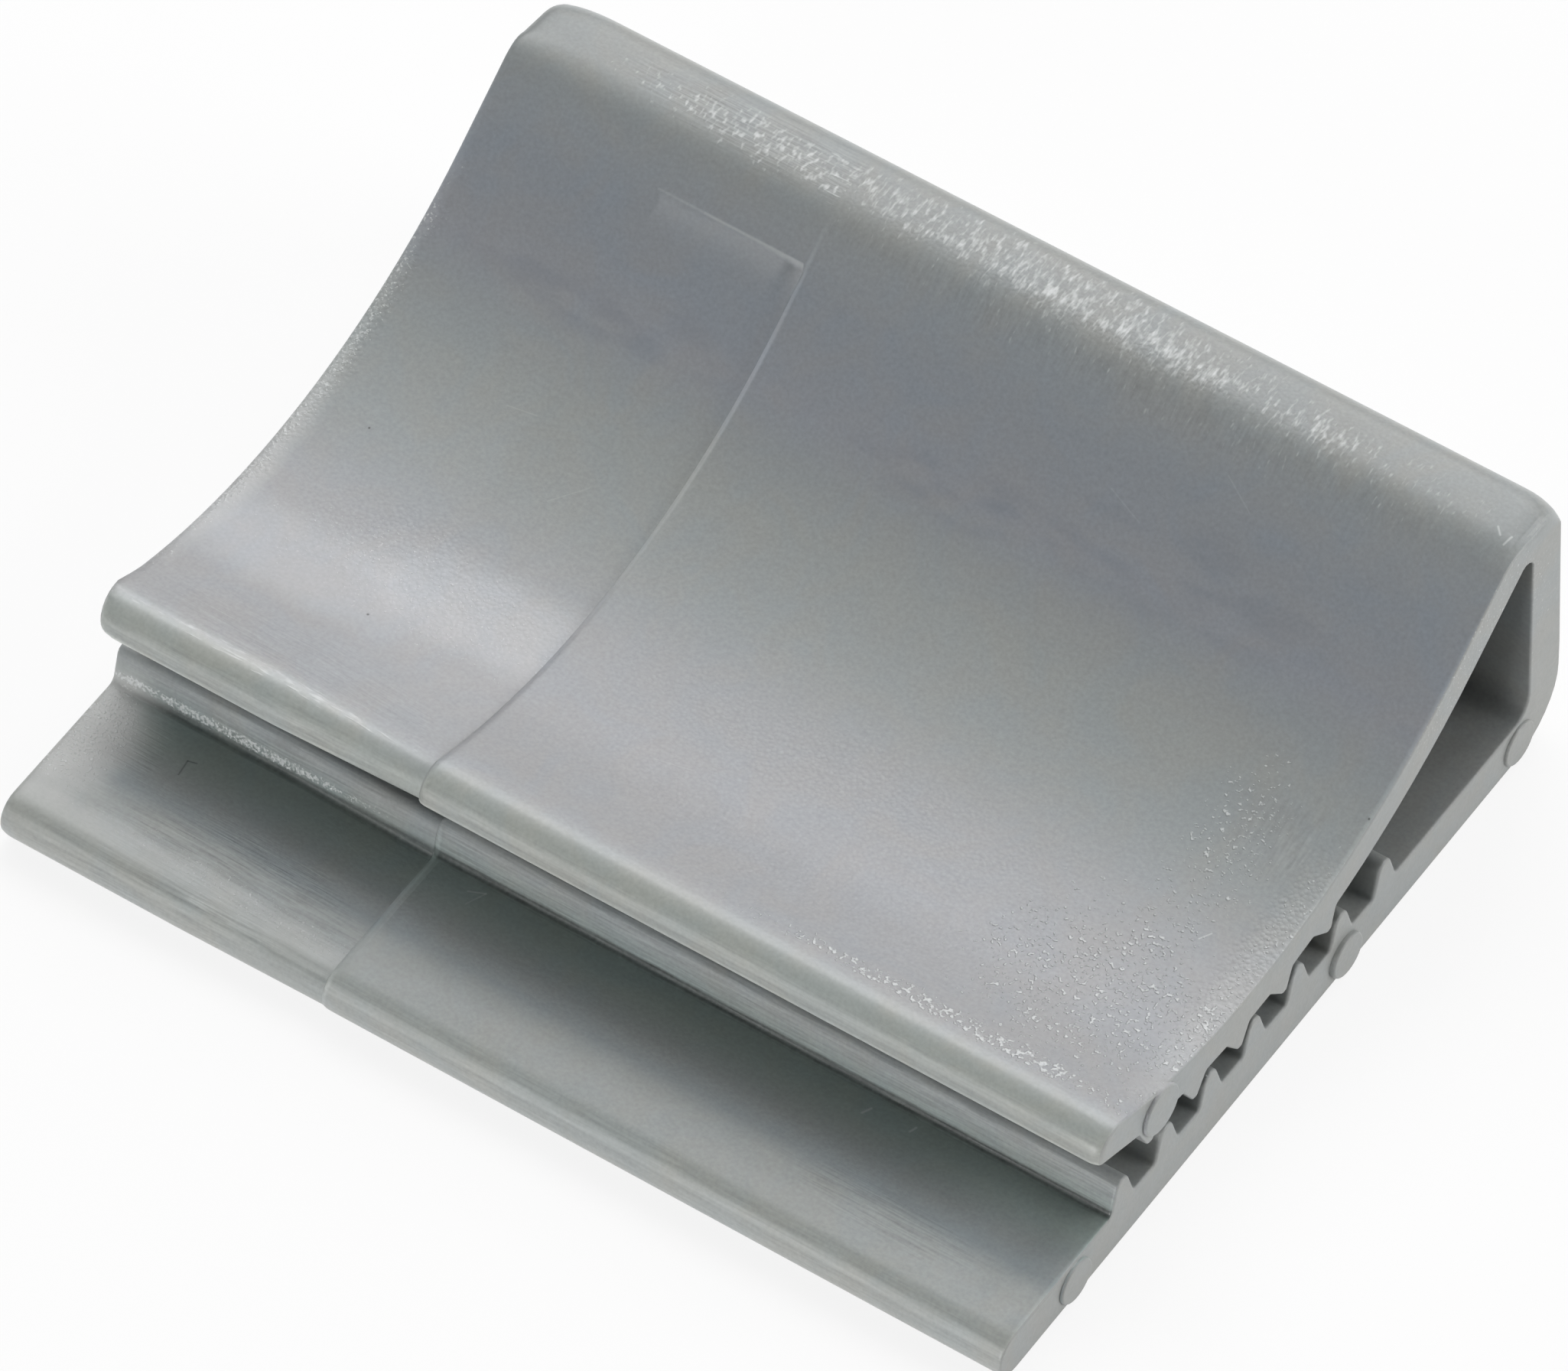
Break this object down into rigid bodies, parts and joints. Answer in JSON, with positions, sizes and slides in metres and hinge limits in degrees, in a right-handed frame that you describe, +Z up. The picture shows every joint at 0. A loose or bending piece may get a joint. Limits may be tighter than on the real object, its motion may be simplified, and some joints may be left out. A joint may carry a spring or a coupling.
{
  "type": "ribbon cable mount",
  "caption": "One-piece moulded clip: flat base, rear wall and a springy curved arm whose teeth press a flat ribbon cable onto ridges across the base.",
  "frame": {"origin": "centre of the base plate's outline, on its flat underside", "axes": "+X along the mount, across the cable's run, towards the end face with the ejector pads; +Y from the open front edge to the rear wall, along the cable's way in; +Z up from the surface that the base is stuck to"},
  "size_m": [0.0256, 0.0212, 0.0074],
  "materials": {
    "grey_plastic": "satin mid-grey moulded plastic, slightly green, with fine grain and rubbed edges"
  },
  "bodies": {
    "root": {"clip_body": "grey_plastic"}
  },
  "joints": []
}
